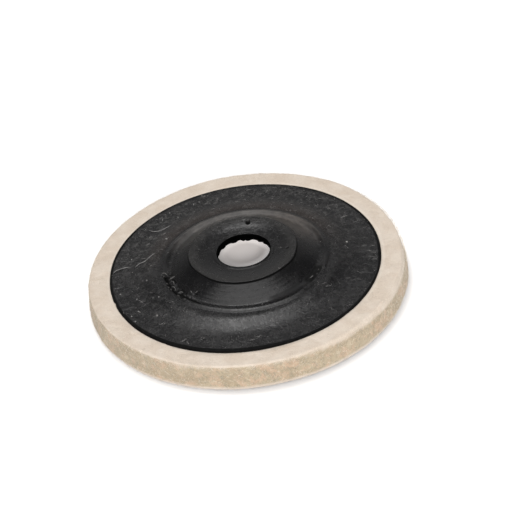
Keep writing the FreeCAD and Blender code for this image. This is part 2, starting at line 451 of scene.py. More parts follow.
def painted_shade_edges(net, x, y, radius, turn, cos, sin, torn):
    """Mask of the painted shade, kept near black and less glossy: hub edge, rim, a ring inside the
    back rim, tears, patches on the foot, bore edge and pits.
    """
    pull = net.minus(
        net.mul(net.band(turn, *HUB_IN), HUB_IN_BY), net.mul(net.band(turn, *HUB_OUT), HUB_OUT_BY)
    )
    # painted shade in the step at the hub's edge, strongest at the front
    hub = net.band(net.plus(radius, pull), (16.84, 16.92), (17.3, 17.05))
    hub = net.mul(hub, net.step(sin, 0.2, -0.6, 0.3, 1.0))
    # painted shade along the rim, wider at the front right
    wide = net.mul(net.band(turn, (-0.25, -0.19), (-0.02, -0.06)), 0.5)
    rim = net.step(net.minus(radius, wide), 41.2, 41.75)
    # a painted dark ring just inside the back rim
    back_rim_shade = net.mul(net.step(radius, 40.2, 41.0), net.step(sin, 0.45, 0.85), 0.55)
    # the sunk tear lines are painted black as shade
    tear = net.add("ShaderNodeAttribute", attribute_name="tear").outputs["Fac"]
    # painted shade on the cone's foot at the front right and on the left
    shade_front_right = net.mul(
        net.band(turn, (-0.218, -0.196), (-0.117, -0.14)),
        net.band(radius, (21.8, 22.5), (25.2, 24.6)),
    )
    shade_left = net.mul(
        net.step(cos, -0.93, -0.98), net.band(radius, (23.8, 24.4), (25.6, 25.1))
    )
    # painted shade along the bore's edge
    notch = net.band(turn, (-0.215, -0.18), (-0.062, -0.08))
    bore_off = net.plus(net.mul(cos, BORE_SHIFT), net.mul(notch, 0.4))
    bore_edge = net.step(
        net.minus(radius, bore_off),
        net.step(sin, 0.0, -0.7, 8.62, 8.85),
        net.step(sin, 0.0, -0.7, 8.46, 8.66),
    )
    edge = net.most(
        hub, rim, back_rim_shade, net.mul(torn, 0.9), net.step(tear, 0.25, 0.8),
        net.mul(shade_front_right, 0.5), net.mul(shade_left, 0.42), bore_edge,
    )
    # pits, painted dark as shade: quarter turns from the back one, radius, darkness
    for quarter, size, dark in ((0, 0.66, 1.0), (1, 0.5, 0.45), (-1, 0.5, 0.65)):
        angle = math.radians(PIT_ANGLE + 90 * quarter)
        pit_x = net.minus(x, PIT_RADIUS * math.cos(angle))
        pit_y = net.mul(net.minus(y, PIT_RADIUS * math.sin(angle)), 0.72)
        edge = net.most(edge, net.step(net.length(pit_x, pit_y), size, size * 0.72, 0.0, dark))
    return edge


def nylon_material():
    """Black moulded nylon: satin, faintly mottled, rubbed and dusted with felt, with painted sheen
    and painted shade in places.
    """
    material, net, shader = new_material("black_nylon")
    point = net.point()
    x, y, _ = net.split(point)
    radius = net.length(x, y)
    turn = net.math("DIVIDE", net.math("ARCTAN2", y, x), 2 * math.pi)
    cos, sin = net.math("DIVIDE", x, radius), net.math("DIVIDE", y, radius)
    # coordinates for textures drawn out along the rings and along the rays
    rings = net.vector(net.mul(radius, 1.0), net.mul(cos, 2.2), net.mul(sin, 2.2))
    rays = net.vector(net.mul(cos, 42.0), net.mul(sin, 42.0), net.mul(radius, 0.16))

    cloud = net.noise(point, 0.16, rough=0.55)
    mottle = net.noise(point, 0.75, detail=4.0, rough=0.6, warp=0.6)
    grain = net.noise(point, 2.6, rough=0.6)
    outer = net.step(radius, 26.6, 29.5)
    # dust settles towards the back and a little to the left
    back = net.step(net.plus(sin, net.mul(cos, -0.1)), -0.65, 1.05)
    base = net.mix(
        net.step(cloud, 0.35, 0.68), (0.0022, 0.0022, 0.0026), (0.004, 0.0039, 0.0042)
    )
    rub = net.mul(net.step(mottle, 0.42, 0.7), net.plus(0.06, net.mul(back, 0.8)))
    base = net.tint(base, rub, outer, (0.017, 0.0165, 0.0165))
    # browner just outside the shoulder, towards the back
    brown = net.mul(net.band(radius, (26.0, 27.5), (34.0, 29.0)), net.step(sin, -0.1, 0.7))
    base = net.tint(base, brown, 0.6, (0.020, 0.0145, 0.012))
    # painted sheen on the cone's foot, standing in for a grazing reflection: warmer to the right,
    # palest right at the back
    foot = painted_foot_sheen(net, point, rings, radius, cos, sin)
    sheen_grey = net.mix(net.step(cos, 0.1, 0.7), (0.074, 0.070, 0.066), (0.073, 0.064, 0.057))
    palest = net.mul(net.step(sin, 0.955, 0.995), net.step(radius, 23.6, 21.8))
    base = net.mix(foot, base, net.mix(palest, sheen_grey, (0.112, 0.106, 0.10)))
    # the hub's outer band is rubbed greyer
    hub_band = net.band(radius, (12.8, 15.6), (16.86, 16.7))
    base = net.tint(base, hub_band, net.step(mottle, 0.2, 0.6, 0.5, 1.0), (0.0135, 0.0132, 0.013))
    worm, dust, scratch = rub_marks(net, point, rays, radius, outer, back)
    base = net.tint(base, worm, 0.5, (0.075, 0.073, 0.071))
    base = net.tint(base, dust, 0.55, (0.11, 0.106, 0.10))
    base = net.tint(base, scratch, 0.3, (0.09, 0.09, 0.094))
    # painted shade: torn gaps, edges, foot patches, the bore's edge and the pits go near black
    torn = torn_gap_shade(net, point, radius, turn)
    edge = painted_shade_edges(net, x, y, radius, turn, cos, sin, torn)
    base = net.tint(base, edge, 0.85, (0.0025, 0.0025, 0.0025))
    # painted shade: the bore's wall is made blacker
    bore = net.step(net.minus(radius, net.mul(cos, BORE_SHIFT)), 8.5, 8.36)
    base = net.mix(bore, base, (0.0006, 0.0006, 0.0006))

    marks = net.math("ADD", worm, scratch, clamp=True)
    rough = net.plus(
        net.step(radius, 16.0, 26.0, 0.23, 0.27),
        net.mul(net.minus(mottle, 0.5), 0.4),
        net.mul(net.minus(cloud, 0.5), 0.2),
        net.mul(marks, -0.1),
    )
    rough = net.math("ADD", rough, net.mul(net.most(edge, foot), 0.3), clamp=True)

    # turned rings, strongest on the front of the cone; then mottle, grain and marks
    facing = net.mul(net.step(sin, 0.1, -0.7), net.step(radius, 24.6, 23.4, 0.0, 0.5))
    ring_strength = net.plus(net.step(radius, 25.0, 19.0, 0.12, 0.5), facing)
    normal = net.bump(net.noise(rings, 2.4, detail=2.0), ring_strength, depth=0.05)
    mottle_strength = net.mul(
        net.plus(net.step(radius, 16.9, 17.1, 0.42, 0.55), net.step(radius, 26.3, 27.6, 0.0, 0.45)),
        net.step(back, 0.0, 0.6, 0.3, 0.7),
    )
    normal = net.bump(mottle, mottle_strength, 0.2, normal)
    normal = net.bump(grain, net.step(radius, 16.9, 17.1, 0.25, 0.45), 0.07, normal)
    normal = net.bump(net.plus(worm, scratch, dust), 0.6, 0.08, normal)
    # less gloss where shade is painted and on the bore's wall
    specular = net.minus(net.minus(0.5, net.mul(edge, 0.42)), net.mul(bore, 0.07))
    inputs = {"Base Color": base, "Roughness": rough, "Specular IOR Level": specular}
    net.fill(shader, {**inputs, "IOR": 1.5, "Normal": normal})
    return material


# ------------------------------------------------------------------ other materials
def felt_material():
    """Dense pressed wool: cream on the faces, tanned and mottled on the cut sides."""
    material, net, shader = new_material("wool_felt")
    point = net.point()
    x, y, z = net.split(point)
    radius = net.length(net.minus(x, FELT_SHIFT[0]), net.minus(y, FELT_SHIFT[1]))
    blotch = net.noise(point, 0.17, rough=0.55, warp=0.4)
    flock = net.noise(point, 0.55, detail=4.0, rough=0.62, warp=1.2)
    strand = net.noise(point, 1.7, detail=4.0, rough=0.7, warp=2.4)
    wisp = net.voronoi(net.scaled(point, 1.0), 1.05, "SMOOTH_F1")

    cream = net.mix(net.step(blotch, 0.34, 0.66), (0.455, 0.39, 0.325), (0.50, 0.442, 0.38))
    cream = net.tint(cream, net.step(flock, 0.5, 0.78), 0.5, (0.485, 0.40, 0.34))
    tan = net.mix(net.step(blotch, 0.3, 0.7), (0.262, 0.21, 0.144), (0.325, 0.272, 0.194))
    pink = net.step(net.noise(point, 0.32, detail=2.0, warp=0.6), 0.48, 0.64)
    tan = net.tint(tan, pink, 0.75, (0.37, 0.265, 0.19))
    grey = net.step(net.noise(point, 0.95, rough=0.6, warp=0.8), 0.5, 0.64)
    tan = net.tint(tan, grey, 0.75, (0.21, 0.185, 0.135))
    pale = net.step(net.noise(net.scaled(point, 1.13), 0.8, rough=0.6, warp=0.8), 0.54, 0.66)
    tan = net.tint(tan, pale, 0.5, (0.44, 0.37, 0.275))
    # tan on the cut side; the lower rounding is left cream, a painted light band where bounce light
    # off the bench falls
    side = net.mul(
        net.step(radius, FELT_R - 0.95, FELT_R - 0.55),
        net.step(z, FELT_LOW + 1.3, FELT_LOW + 2.5),
        net.step(z, FELT_TOP - 0.05, FELT_TOP - 0.4),
    )
    inner = net.step(radius, FELT_IN + 0.7, FELT_IN + 0.25)
    colour = net.mix(net.most(side, inner), cream, tan)
    # painted shade: greyer at the foot of the side, where it meets the bench
    bench_contact_shade = net.mul(
        net.step(radius, 46.5, 48.5), net.step(z, FELT_LOW + 1.1, FELT_LOW + 0.25)
    )
    colour = net.tint(colour, bench_contact_shade, 0.6, (0.32, 0.30, 0.285))
    # painted highlight: a paler line on the top, round the plate's edge
    pressed = net.mul(
        net.step(radius, 43.9, 43.0), net.step(z, FELT_TOP - 0.5, FELT_TOP - 0.2)
    )
    colour = net.tint(colour, pressed, 0.3, (0.66, 0.61, 0.54))
    # darker pores and lighter strands
    colour = net.tint(colour, net.step(strand, 0.46, 0.3), 0.38, (0.25, 0.195, 0.14))
    colour = net.tint(colour, net.step(strand, 0.58, 0.74), 0.3, (0.66, 0.61, 0.53))
    normal = net.bump(flock, strength=0.5, depth=0.35)
    normal = net.bump(wisp, 0.25, 0.2, normal)
    normal = net.bump(strand, 0.75, 0.22, normal)
    net.fill(shader, {
        "Base Color": colour,
        "Roughness": net.step(strand, 0.3, 0.7, 0.86, 1.0),
        "Specular IOR Level": 0.12,
        "Sheen Weight": 0.22,
        "Sheen Roughness": 0.55,
        "Sheen Tint": (1.0, 0.95, 0.88),
        "Normal": normal,
    })
    return material


def fibre_material(name, dark, light):
    """Small fibres and grains, each a slightly different shade."""
    material, net, shader = new_material(name)
    point = net.point()
    shade = net.step(net.noise(point, 0.9, detail=2.0), 0.35, 0.65)
    net.fill(shader, {
        "Base Color": net.mix(shade, dark, light),
        "Roughness": net.step(net.noise(point, 2.0, detail=2.0), 0.3, 0.7, 0.65, 0.9),
        "Specular IOR Level": 0.2,
        "Sheen Weight": 0.2,
    })
    return material


def glue_material():
    """Contact adhesive: amber, cloudy, half gloss."""
    material, net, shader = new_material("contact_adhesive")
    point = net.point()
    cloud = net.noise(point, 0.5, rough=0.6)
    fine = net.noise(point, 2.5, rough=0.6)
    amber = net.mix(net.step(cloud, 0.35, 0.65), (0.34, 0.22, 0.085), (0.52, 0.4, 0.2))
    net.fill(shader, {
        "Base Color": net.tint(amber, net.step(fine, 0.55, 0.75), 0.4, (0.6, 0.52, 0.36)),
        "Roughness": net.step(fine, 0.3, 0.7, 0.28, 0.6),
        "Normal": net.bump(cloud, strength=0.5, depth=0.15),
    })
    return material


def table_material():
    """A matt white bench, with painted shadow round and under the wheel and a painted glow on the
    patch inside the bore.
    """
    material, net, shader = new_material("pale_table")
    point = net.point()
    tone = net.noise(point, 0.02)
    x, y, _ = net.split(point)
    radius = net.length(x, y)
    white = net.mix(net.step(tone, 0.3, 0.7), (0.885, 0.885, 0.885), (0.90, 0.90, 0.90))
    # painted shade: warmer and a little darker under the wheel, where the bench shows through the
    # bore
    white = net.mix(net.step(radius, 30.0, 25.0), white, (0.865, 0.825, 0.812))
    # painted shadow: greyer near the wheel, most of all to the front right
    side = net.math("DIVIDE", net.minus(net.mul(x, 0.75), net.mul(y, 0.66)), radius)
    painted_shadow = net.mul(
        net.step(radius, net.step(side, 0.3, 1.0, 51.6, 53.8), 49.6),
        net.step(side, -0.3, 0.9, 0.5, 1.0),
        net.step(radius, 44.0, 46.0),
    )
    # painted glow: the bench itself emits light on the patch that shows through the bore: ring
    # centre y, and its rise
    painted_glow = 0.0
    for centre_y, rise in ((19.4, (5.6, 8.3)), (16.65, (5.9, 8.3))):
        away = net.length(net.minus(x, BORE_SHIFT), net.minus(y, centre_y))
        painted_glow = net.most(painted_glow, net.band(away, rise, (10.4, 9.0)))
    painted_glow = net.mul(painted_glow, net.step(x, -7.0, 8.0, 0.13, 0.3), net.step(radius, 28.0, 25.0))
    net.fill(shader, {
        "Emission Strength": painted_glow,
        "Emission Color": (1.0, 0.975, 0.965),
        "Base Color": net.mix(painted_shadow, white, (0.58, 0.58, 0.585)),
        "Roughness": 0.9,
        "Specular IOR Level": 0.1,
    })
    return material


# ------------------------------------------------------------------ backing plate
# (radius, slope) of the moulding's top face, on the dish and from the hub's foot to the rim
DISH = [
    (9.8, 0.05), (10.4, 0.085), (11.5, 0.12), (12.6, 0.165), (13.5, 0.135), (14.6, 0.10),
    (15.6, 0.08), (16.4, 0.04),
]
CONE = [
    (17.0, -0.70), (18.5, -0.67), (20.0, -0.63), (21.5, -0.565), (22.6, -0.44), (22.95, -0.37),
    (23.2, -0.02), (23.55, 0.08), (24.2, 0.40), (24.7, 0.48), (25.0, 0.22), (25.15, -0.05),
    (25.28, -0.20), (25.88, -0.225), (26.0, -0.50), (26.2, -0.66), (26.34, -0.22), (26.5, -0.03),
    (27.7, -0.01), (28.2, -0.045), (29.0, -0.135), (29.8, -0.205), (30.6, -0.228), (31.6, -0.2),
    (32.6, -0.155), (33.8, -0.1), (35.0, -0.055), (36.2, -0.028), (37.5, -0.02), (41.4, -0.02),
    (41.9, -0.03), (42.1, -0.12), (42.22, -0.4), (42.32, -1.2),
]
# bore edge, hub edge and underside: (radius, z, rounding)
BORE_EDGE = [
    (8.2, -2.05, 0.10), (8.2, -0.24, 0.05), (8.5, -0.10, 0.05), (9.3, -0.04, 0.05),
    (9.55, -0.04, 0.05), (9.7, -0.14, 0.05),
]
HUB_EDGE = [(16.86, 0.63, 0.10), (16.98, 0.14, 0.03)]
UNDERSIDE = [
    (PLATE_R, PLATE_BASE + 0.05, 0.08), (42.3, PLATE_BASE, 0.0), (24.4, -5.35, 0.15),
    (16.0, -2.05, 0.25),
]
# open lines in the torn skin: points (x, y) along each, and its half width
TEARS = [
    ([(-25.85, -2.08), (-24.68, -4.16), (-24.12, -6.85), (-23.56, -9.23), (-22.74, -11.11),
      (-21.37, -13.1), (-19.88, -14.76), (-18.38, -15.93), (-16.68, -17.56),
      (-14.76, -19.19)], 0.42),
    ([(-21.4, -12.3), (-20.9, -13.0), (-19.5, -14.6), (-18.1, -15.8), (-16.5, -17.4),
      (-15.3, -18.5)], 0.5),
    ([(-22.98, -4.96), (-22.17, -6.2), (-21.74, -7.53)], 0.3),
    ([(-20.82, -11.21), (-19.24, -12.6)], 0.3),
    ([(-16.49, -14.32), (-15.07, -15.04)], 0.32),
]
# flash at the bore's lower rim: (angle, width, height)
FLASH = [
    (34, 4.0, 0.28), (49, 5.5, 0.42), (77, 7.0, 0.62), (87, 4.5, 0.58), (108, 7.5, 0.5),
    (138, 5.5, 0.3),
]


def top_spacing(radius):
    if radius < 16.5:
        return 0.3 if not 13.2 < radius < 14.8 else 0.15
    if 23.3 < radius < 27.2:
        return 0.14
    if radius > 41.3:
        return 0.1
    return 0.26 if radius < 23.4 else 0.5


def surface_mid(radius):
    """Halfway through the moulding's wall, to tell its top from its underside."""
    return np.interp(radius, [8.0, 16.0, 17.0, 20.0, 24.4], [-1.0, -0.9, -1.2, -2.6, -4.5])


def plate_spacing(radius, z):
    if z < PLATE_BASE + 0.05:
        return 2.2
    if radius < 8.6:
        return 0.16
    return 0.3 if z > surface_mid(radius) else 1.3


def plate_outline():
    corners = BORE_EDGE + sloped(-0.12, DISH, top_spacing) + HUB_EDGE
    corners += sloped(0.12, CONE, top_spacing) + UNDERSIDE
    # listed from the bore outwards over the top; the loop's normals need it reversed
    return rounded_loop(corners, plate_spacing)[::-1]


def spot_distance(grid, angle, radius, stretch):
    """Distance in plan from a spot at an angle in degrees, with Y scaled by stretch."""
    angle = math.radians(angle)
    off_x = grid[..., 0] - radius * math.cos(angle)
    return np.hypot(off_x, (grid[..., 1] - radius * math.sin(angle)) * stretch)


def surface_lift(grid, angles, radius, top, noise_one, noise_two):
    """Height added to the top: waves, turned ridges, crumpled skin and pits."""
    degrees = np.degrees(angles)
    wave = noise_one.layered(grid, 9.0) * 0.022 + noise_two.layered(grid, 2.6) * 0.006
    lift = wave * top * step(radius, 9, 14) * (1 - 0.6 * step(radius, 41.5, 42.3))
    # faint turned ridges on the lower cone: radius, height
    streak = 0.5 + 0.5 * noise_one.around(angles, 2.5)
    ridges = ((19.1, 0.010), (20.3, 0.016), (20.6, 0.03), (21.5, 0.055), (22.75, -0.03))
    for ridge, height in ridges:
        lift += top * height * np.exp(-(((radius - ridge) / 0.3) ** 2)) * (0.35 + streak)
    # skin crumpled at the foot of the cone, on the left
    inner = np.interp(degrees, [168, 190, 205, 226], [23.6, 23.3, 22.4, 22.2])
    mask = band(degrees, (176, 186), (226, 214)) * top
    mask = mask * step(radius, inner, inner + 0.9) * step(radius, 26.0, 25.3)
    crease = 1 - np.abs(noise_two.layered(grid, 1.7)) * 2.4
    patchy = step(noise_one.layered(grid, 2.2), 0.0, 0.42)
    lift += mask * patchy * (np.clip(crease, -0.7, 1) * 0.42 - 0.10)
    # pits, from the back one on: depth, size, stretch
    pits = ((0.95, 1.3, 0.75), (0.35, 1.0, 1.0), (0.05, 0.9, 1.0), (0.4, 1.0, 1.0))
    for quarter, (depth, size, stretch) in enumerate(pits):
        away = spot_distance(grid, PIT_ANGLE + 90 * quarter, PIT_RADIUS, stretch)
        lift -= top * depth * step(away, 0.56 * size, 0.34 * size)
        lift += top * 0.04 * depth * np.exp(-(((away - 0.6 * size - 0.1) / 0.16) ** 2))
    # a shallow hollow beside the back pit
    lift -= top * 0.22 * step(spot_distance(grid, 83.5, 14.75, 1.5), 0.7, 0.25)
    return lift


def add_flash(grid, angles, radius, z, noise):
    """Ragged flash round the bore's lower rim."""
    rng = np.random.RandomState(5)
    degrees = np.degrees(angles)
    spots = list(FLASH)
    angle = 165
    while angle < 365:
        shifted = angle + rng.uniform(-7, 7)
        spots.append((shifted, rng.uniform(3.5, 8.0), rng.uniform(0.1, 0.5)))
        angle += rng.uniform(17, 34)
    flash = np.zeros(len(angles))
    for centre, width, height in spots:
        shape = np.exp(-np.abs(turn_gap(degrees, centre) / width) ** 2.6)
        flash = np.maximum(flash, height * shape)
    flash += 0.06 + 0.07 * noise.around(angles, 22)
    inward = np.where(radius < 8.4, step(z, -1.45, -1.95), 0.0)
    inward = inward + np.where((z < -1.98) & (radius >= 8.05), step(radius, 8.9, 8.05), 0.0)
    flash = np.clip(inward, 0, 1) * flash
    grid[..., :2] *= (1 - flash / np.maximum(radius, 1))[..., None]
    grid[..., 2] -= flash * 0.25 * (z < -1.9)


def shift_off_centre(grid, angles, radius, z, top):
    """Pulls the bore, the hub's edge, the foot's lip and the rim off centre."""
    degrees = np.degrees(angles)
    turn = np.where(degrees > 180, degrees - 360, degrees) / 360
    hub = np.where(z > surface_mid(radius), 1.0, 0.0) * band(radius, (13.0, 16.6), (20.5, 17.3))
    foot = top * band(radius, (21.5, 24.0), (29.5, 26.8))
    rim = step(radius, 36.0, 41.5)
    amount = -hub * (HUB_IN_BY * band(turn, *HUB_IN) - HUB_OUT_BY * band(turn, *HUB_OUT))
    amount = amount + foot * bumps(
        degrees, (303.0, 30.0, 0.62), (206.0, 20.0, 0.4), (242.0, 13.0, -0.2)
    )
    amount += top * step(radius, 10.6, 9.0) * bumps(degrees, (325.0, 11.0, 0.35))
    amount += rim * bumps(degrees, (45.0, 32.0, 0.26), (148.0, 22.0, 0.24), (2.0, 25.0, 0.1))
    # the lip dies away at the left and at the right
    proud = np.clip(z + 3.41, 0, 1) * top * band(radius, (24.0, 24.3), (26.8, 26.4))
    worn = bumps(degrees, (205.0, 21.0, 1.0), (185.0, 12.0, 1.0), (327.0, 13.0, 1.0))
    grid[..., 2] -= 0.85 * proud * np.clip(worn, 0, 1)
    grid[..., 0] += BORE_SHIFT * (step(radius, 12.5, 9.0) + foot)
    push(grid, angles, amount)
    grid[..., 1] -= 0.2 * rim * (1 + 0.8 * step(np.sin(angles), 0.1, -0.9))


def cut_tears(grid, top, noise):
    """Sinks the open lines of torn skin and returns their mask."""
    radius = np.hypot(grid[..., 0], grid[..., 1])
    angle = np.degrees(np.arctan2(grid[..., 1], grid[..., 0])) % 360
    tear = np.zeros_like(radius)
    ragged = 0.14 * noise.layered(grid, 0.9)
    for path, half in TEARS:
        x, y = np.array(path).T
        path_angle = np.degrees(np.arctan2(y, x)) % 360
        order = np.argsort(path_angle)
        path_angle, path_radius = path_angle[order], np.hypot(x, y)[order]
        first, last = path_angle[0], path_angle[-1]
        ends = band(angle, (first - 0.4, first + 1.0), (last + 0.4, last - 1.0))
        away = np.abs(radius - np.interp(angle, path_angle, path_radius) + ragged)
        tear = np.maximum(tear, top * ends * step(away, half, half * 0.35))
    grid[..., 2] -= 0.38 * tear
    return tear


def nick_rim(grid, angles, radius, top, noise):
    """A nick and small burrs on the rim."""
    degrees = np.degrees(angles)
    rim = step(radius, 41.3, 42.2)
    dent = bumps(
        degrees, (194.3, 0.75, 0.42), (196.2, 0.5, 0.16), (231.0, 0.6, 0.12), (311.0, 0.8, 0.10)
    )
    wander = 0.05 * noise.around(angles, 9)
    grid[..., :2] *= (1 + rim * (wander - dent) / PLATE_R)[..., None]
    grid[..., 2] += rim * top * bumps(degrees, (193.0, 0.7, 0.10))


def build_plate(loop):
    grid, normals, angles, radius, z = turned(loop, 480)
    noise_one, noise_two = Noise(11), Noise(12)
    top = np.where((normals[:, 1:2] > 0.25) & (z > -4.75), 1.0, 0.0)
    grid[..., 2] += surface_lift(grid, angles, radius, top, noise_one, noise_two)
    add_flash(grid, angles, radius, z, noise_two)
    shift_off_centre(grid, angles, radius, z, top)
    tear = cut_tears(grid, top, noise_one)
    nick_rim(grid, angles, radius, top, noise_one)
    obj = ring_object("plate_moulding", grid)
    attribute = obj.data.attributes.new("tear", "FLOAT", "POINT")
    attribute.data.foreach_set("value", tear.ravel().astype(np.float32))
    return obj


plate_loop = plate_outline()
place(build_plate(plate_loop), nylon_material(), replaces="backing_plate")


# ------------------------------------------------------------------ felt ring
def felt_spacing(radius, z):
    if z > FELT_TOP - 0.01:
        return 0.42 if radius > 41.5 else 2.6
    if z < FELT_LOW + 0.01:
        return 1.3
    return 0.4 if radius > 40 else 0.75


def build_felt():
    corners = [
        (FELT_LOW_R, FELT_LOW, FELT_LOW_ROUND), (FELT_TOP_R, FELT_TOP, FELT_TOP_ROUND),
        (42.3, FELT_TOP, 0.0), (FELT_IN, FELT_TOP, 0.7), (FELT_IN, FELT_LOW, 0.9),
    ]
    grid, normals, angles, radius, z = turned(rounded_loop(corners, felt_spacing), 720)
    # lumps, flocks and tufts: seed, size, height
    layers = ((21, 11.0, 0.12), (22, 3.0, 0.085), (23, 1.1, 0.06))
    rise = sum(Noise(seed).layered(grid, size) * height for seed, size, height in layers)
    # the glued face and the face on the table stay flat
    under_plate = (z > FELT_TOP - 0.05) & (radius < 43.0)
    rise = np.where(under_plate, np.minimum(rise * step(radius, 42.0, 43.4), 0.0), rise)
    on_table = step(z, FELT_LOW + 0.9, FELT_LOW + 0.1)
    flat = (on_table > 0) & (np.abs(normals[:, 1:2]) > 0.5)
    rise = np.where(flat, np.minimum(rise, 0) * (1 - 0.7 * on_table), rise)
    rise = np.where(radius < 30, rise * 0.7, rise)
    push(grid, angles, normals[:, 0:1] * rise)
    grid[..., 2] += normals[:, 1:2] * rise
    # the cut leans in more on the right
    away = np.clip(np.abs(turn_gap(np.degrees(angles), -25.0)) / 75.0, 0, 1)
    lean = 0.85 * (0.5 + 0.5 * np.cos(away * math.pi))
    push(grid, angles, -lean * step(z, FELT_LOW + 2.5, FELT_TOP) * step(radius, 44.0, 48.0))
    # cut by hand, so the outline wanders: waves per turn, phase, height
    waves = ((2, 1.9, 0.08), (3, 2.1, 0.12), (7, 0.4, 0.05))
    wander = sum(height * np.cos(count * angles + phase) for count, phase, height in waves)
    grid[..., :2] *= (1 + step(radius, 43.0, 49.0) * wander / FELT_R)[..., None]
    grid[..., :2] += FELT_SHIFT
    grid[..., 2] = np.maximum(grid[..., 2], FELT_LOW)
    return ring_object("felt_body", grid)


place(build_felt(), felt_material(), replaces="felt_ring")


# ------------------------------------------------------------------ fibres
def fibre_mesh(name, strands, sides=3):
    """Thin tapered tubes along strands (path, radius), closed at both ends."""
    points, quads, tris = [], [], []
    base = 0
    for path, radius in strands:
        count = len(path)
        along = np.gradient(path, axis=0)
        along /= np.maximum(np.linalg.norm(along, axis=1), 1e-9)[:, None]
        steep = np.abs(along[:, 2:3]) > 0.9
        across = np.cross(along, np.where(steep, [[1.0, 0, 0]], [[0, 0, 1.0]]))
        across /= np.maximum(np.linalg.norm(across, axis=1), 1e-9)[:, None]
        upward = np.cross(along, across)
        taper = radius * (1 - 0.55 * np.abs(np.linspace(-1, 1, count)) ** 3)
        index = base + np.arange(sides * count).reshape(sides, count)
        for side in range(sides):
            turn = 2 * math.pi * side / sides
            offset = across * math.cos(turn) + upward * math.sin(turn)
            points.append(path + offset * taper[:, None])
            here, beside = index[side], index[(side + 1) % sides]
            quads.append(np.stack([here[:-1], beside[:-1], beside[1:], here[1:]], 1))
        start, end = index[:, 0], index[:, -1]
        for side in range(1, sides - 1):
            tris.append([start[0], start[side + 1], start[side]])
            tris.append([end[0], end[side], end[side + 1]])
        base += sides * count
    return mesh_object(name, np.concatenate(points), np.concatenate(quads), tris)


def felt_surface(angle, where, rng):
    """A random point and outward normal on the felt's ideal outline at an angle."""
    if where == "side":
        z = rng.uniform(FELT_LOW + 1.5, FELT_TOP - 0.7)
        lean = (FELT_LOW_R - FELT_TOP_R) / (FELT_TOP - FELT_LOW)
        radius, out, rise = FELT_LOW_R - lean * (z - FELT_LOW), 1.0, 0.0
    elif where == "top":
        radius, z, out, rise = rng.uniform(43.9, FELT_R - 1.2), FELT_TOP, 0.0, 1.0
    elif where == "inner":
        radius, out, rise = FELT_IN - 0.02, -1.0, 0.0
        z = rng.uniform(FELT_LOW + 1.0, FELT_TOP - 0.9)
    else:
        edge = where == "edge"
        tilt = rng.uniform(0, math.pi / 2) if edge else rng.uniform(-math.pi / 3, 0)
        out, rise = math.cos(tilt), math.sin(tilt)
        rounding = FELT_TOP_ROUND if edge else FELT_LOW_ROUND
        radius = (FELT_TOP_R if edge else FELT_LOW_R) + rounding * (out - 1)
        z = FELT_TOP + rounding * (rise - 1) if edge else FELT_LOW + rounding * (rise + 1)
    cos, sin = math.cos(angle), math.sin(angle)
    point = np.array([radius * cos + FELT_SHIFT[0], radius * sin + FELT_SHIFT[1], z])
    return point, np.array([out * cos, out * sin, rise])


def build_fuzz():
    rng = np.random.RandomState(31)
    strands = []
    plan = [("side", 2300), ("top", 1500), ("edge", 1500), ("low", 450), ("inner", 350)]
    part = np.linspace(0, 1, 5)
    for where, count in plan:
        for _ in range(count):
            point, normal = felt_surface(rng.uniform(0, 2 * math.pi), where, rng)
            along = rng.normal(size=3)
            along = along - normal * (along @ normal)
            along /= np.linalg.norm(along)
            bend = np.cross(normal, along) * rng.uniform(-1, 1)
            length = rng.uniform(0.7, 2.4)
            rise = rng.uniform(0.05, 0.34) * (1.5 if rng.uniform() < 0.08 else 1)
            arch = np.sin(part * math.pi * rng.uniform(0.55, 1.0))
            path = point + np.outer(part - 0.5, along) * length
            path += np.outer((part - 0.5) ** 2 * 1.6, bend) * length
            path += np.outer(arch * rise - 0.07, normal)
            path[:, 2] = np.maximum(path[:, 2], FELT_LOW + 0.03)
            if where == "top":
                # keep clear of the plate's rim
                path[:, :2] *= np.maximum(42.75 / np.hypot(path[:, 0], path[:, 1]), 1.0)[:, None]
            strands.append((path, rng.uniform(0.013, 0.021)))
    return fibre_mesh("felt_fuzz", strands)


fuzz_material = fibre_material("wool_fibre", (0.56, 0.49, 0.40), (0.68, 0.62, 0.53))
place(build_fuzz(), fuzz_material)


# ------------------------------------------------------------------ marks lying on the plate
top_profile = sorted((r, z) for r, z in plate_loop if z > surface_mid(r) and z > -4.9)
TOP_RADII, TOP_HEIGHTS = np.array(top_profile).T


def plate_top(radius):
    return np.interp(radius, TOP_RADII, TOP_HEIGHTS)


def laid(points, lift=0.03):
    """Drops (x, y) points onto the plate's top."""
    return np.column_stack([points, plate_top(np.hypot(points[:, 0], points[:, 1])) + lift])


def arched(points, lift, rise):
    """Points laid on the plate with their middle standing up by rise."""
    path = laid(points, lift)
    path[:, 2] += np.sin(np.linspace(0, math.pi, len(path))) * rise + 0.03
    return path


def curl(points, count):
    """A smooth curve of count points through a few (x, y) points."""
    points = np.asarray(points, float)
    knots = np.linspace(0, 1, len(points))
    where = np.linspace(0, 1, count)
    slope = np.gradient(points, knots, axis=0)
    i = np.clip(np.searchsorted(knots, where) - 1, 0, len(points) - 2)
    gap = (knots[i + 1] - knots[i])[:, None]
    part = (where - knots[i])[:, None] / gap
    square, cube = part**2, part**3
    return (
        (2 * cube - 3 * square + 1) * points[i]
        + (cube - 2 * square + part) * gap * slope[i]
        + (-2 * cube + 3 * square) * points[i + 1]
        + (cube - square) * gap * slope[i + 1]
    )


def stroke(x, y, heading, half, bends, count):
    """A curve centred on (x, y), through bends (along, across) between its two ends."""
    cos, sin = math.cos(heading), math.sin(heading)
    stops = [(-half, 0), *bends, (half, 0)]
    points = [(x + far * cos - off * sin, y + far * sin + off * cos) for far, off in stops]
    return curl(points, count)


def wriggle(rng, x, y, heading, half, sway, count):
    first, second = rng.uniform(-sway, sway, 2) * half
    return stroke(x, y, heading, half, [(-0.3 * half, first), (0.35 * half, second)], count)


